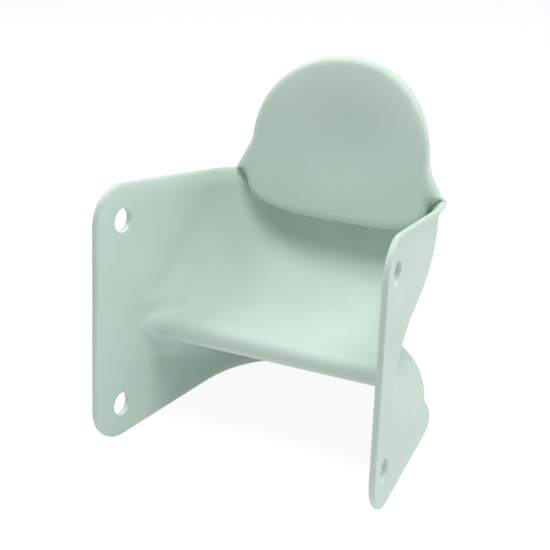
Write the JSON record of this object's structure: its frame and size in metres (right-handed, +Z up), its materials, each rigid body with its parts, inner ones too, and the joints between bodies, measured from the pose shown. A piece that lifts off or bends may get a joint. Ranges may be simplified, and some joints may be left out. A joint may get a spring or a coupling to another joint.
{
  "type": "toddler chair",
  "caption": "Toddler chair in sage green plastic: a curved seat shell with round holes in its side panels and a round-topped backrest that lifts off its rim.",
  "frame": {"origin": "middle of the footprint at floor level, half way between the panels' front edges and the rear of the saddle", "axes": "+Z up from the floor, -Y toward the open front where the child sits down, +X to the right in a view of the chair from its front"},
  "size_m": [0.4056, 0.4073, 0.4697],
  "materials": {
    "shell_plastic": "fine matte moulded surface, sage green",
    "backrest_plastic": "fine matte moulded surface, sage green",
    "cover_plastic": "fine matte moulded surface, sage green",
    "screw_steel": "zinc plated"
  },
  "bodies": {
    "chair": {"shell": "shell_plastic"},
    "backrest": {"backrest_front": "backrest_plastic", "backrest_cover": "cover_plastic", "backrest_screws": "screw_steel"}
  },
  "joints": [
    {"name": "backrest_lift", "type": "slide", "parent": "chair", "child": "backrest", "axis": [0, 0.184, 0.9829], "range_m": [0, 0.12]}
  ]
}
